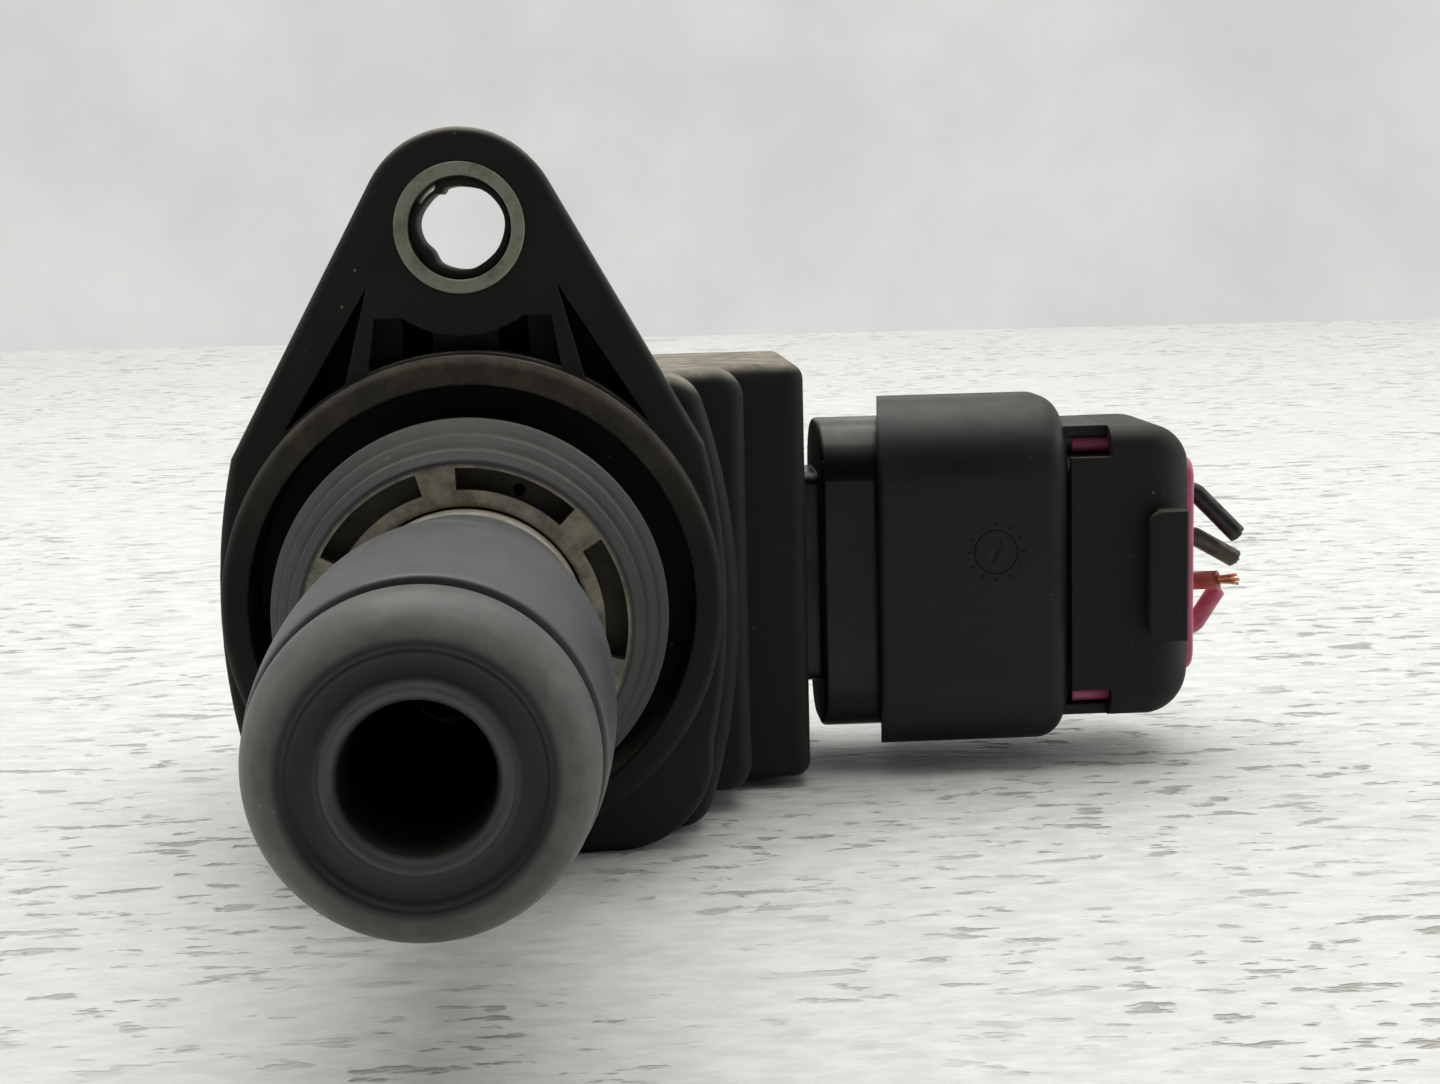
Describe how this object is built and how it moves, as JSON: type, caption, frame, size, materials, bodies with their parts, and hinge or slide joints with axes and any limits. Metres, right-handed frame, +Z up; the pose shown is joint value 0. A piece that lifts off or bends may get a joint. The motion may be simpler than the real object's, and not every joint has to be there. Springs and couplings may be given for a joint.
{
  "type": "ignition coil",
  "caption": "Coil-on-plug ignition coil: silicone plug boot and well seal, one-bolt flange, stepped resin-filled block, and a socket with its latched harness plug and cut wires.",
  "frame": {"origin": "on the boot's axis, in the plane of the collar's front face, where the collar meets the top of the plug well", "axes": "+Y along the boot's axis from its open tip towards the coil block, +X towards the harness plug, +Z towards the bolt ear; the part lies on its side, with +Z up"},
  "size_m": [0.0899, 0.0925, 0.0585],
  "materials": {
    "housing_plastic": "glass-filled black plastic, matt, dusty",
    "retainer_plastic": "thin black plastic, torn",
    "socket_plastic": "black plastic, satin to glossy",
    "plug_plastic": "charcoal plastic, fine matt grain",
    "cover_plastic": "black plastic, matt",
    "clip_plastic": "magenta plastic",
    "lock_plastic": "natural white plastic",
    "bobbin_plastic": "natural glass-filled plastic",
    "chip_plastic": "moulded black epoxy",
    "board": "green circuit board",
    "resin": "black casting resin",
    "bushing_steel": "zinc-plated steel, dull olive grey",
    "lamination_steel": "stacked electrical steel",
    "spring_steel": "bright spring wire",
    "copper_wire": "enamelled copper wire",
    "bare_copper": "bare copper strands",
    "brass": "brass",
    "tinned_brass": "tinned brass",
    "ceramic": "ceramic rod with metal caps",
    "boot_silicone": "bluish grey silicone, satin",
    "seal_silicone": "grey silicone with dust in its corners",
    "small_seal_silicone": "orange-brown silicone",
    "insulation_black": "black wire insulation",
    "insulation_brown": "brown wire insulation",
    "insulation_orange": "orange wire insulation",
    "insulation_magenta": "magenta wire insulation"
  },
  "bodies": {
    "coil": {"coil_housing": "housing_plastic", "mounting_bushing": "bushing_steel", "bolt_retainer": "retainer_plastic", "core_stack": "lamination_steel", "outer_yoke": "lamination_steel", "primary_bobbin": "bobbin_plastic", "primary_winding": "copper_wire", "secondary_bobbin": "bobbin_plastic", "secondary_winding": "copper_wire", "potting_fill": "resin", "driver_board": "board", "igniter_chip": "chip_plastic", "hv_terminal": "brass", "suppression_resistor": "ceramic", "contact_spring": "spring_steel", "well_seal": "seal_silicone", "connector_socket": "socket_plastic", "socket_terminals": "tinned_brass"},
    "boot": {"boot": "boot_silicone"},
    "spring_tip": {"spring_end": "spring_steel"},
    "plug": {"plug_housing": "plug_plastic", "interface_seal": "small_seal_silicone", "female_terminals": "tinned_brass", "mat_seal": "small_seal_silicone", "seal_retainer": "clip_plastic", "rear_cover": "cover_plastic", "wire_black": "insulation_black", "wire_brown": "insulation_brown", "wire_orange": "insulation_orange", "wire_magenta": "insulation_magenta", "conductor_black": "bare_copper", "conductor_brown": "bare_copper", "conductor_orange": "bare_copper", "conductor_magenta": "bare_copper"},
    "latch": {"latch_lever": "plug_plastic"},
    "lock": {"terminal_lock": "lock_plastic"}
  },
  "joints": [
    {"name": "plug_pull", "type": "slide", "parent": "coil", "child": "plug", "axis": [1, 0, 0], "range_m": [0, 0.016]},
    {"name": "latch_rock", "type": "hinge", "parent": "plug", "child": "latch", "pos_m": [0.049, 0.03635, -0.0023], "axis": [0, 0, -1], "range_deg": [0, 5], "stiffness_Nm_per_rad": 0.02},
    {"name": "boot_pull", "type": "slide", "parent": "coil", "child": "boot", "axis": [0, -1, 0], "range_m": [0, 0.024]},
    {"name": "lock_slide", "type": "slide", "parent": "plug", "child": "lock", "axis": [-1, 0, 0], "range_m": [0, 0.0015]},
    {"name": "contact_push", "type": "slide", "parent": "coil", "child": "spring_tip", "axis": [0, 1, 0], "range_m": [0, 0.005], "stiffness_N_per_m": 300, "deforming": ["contact_spring"]}
  ]
}
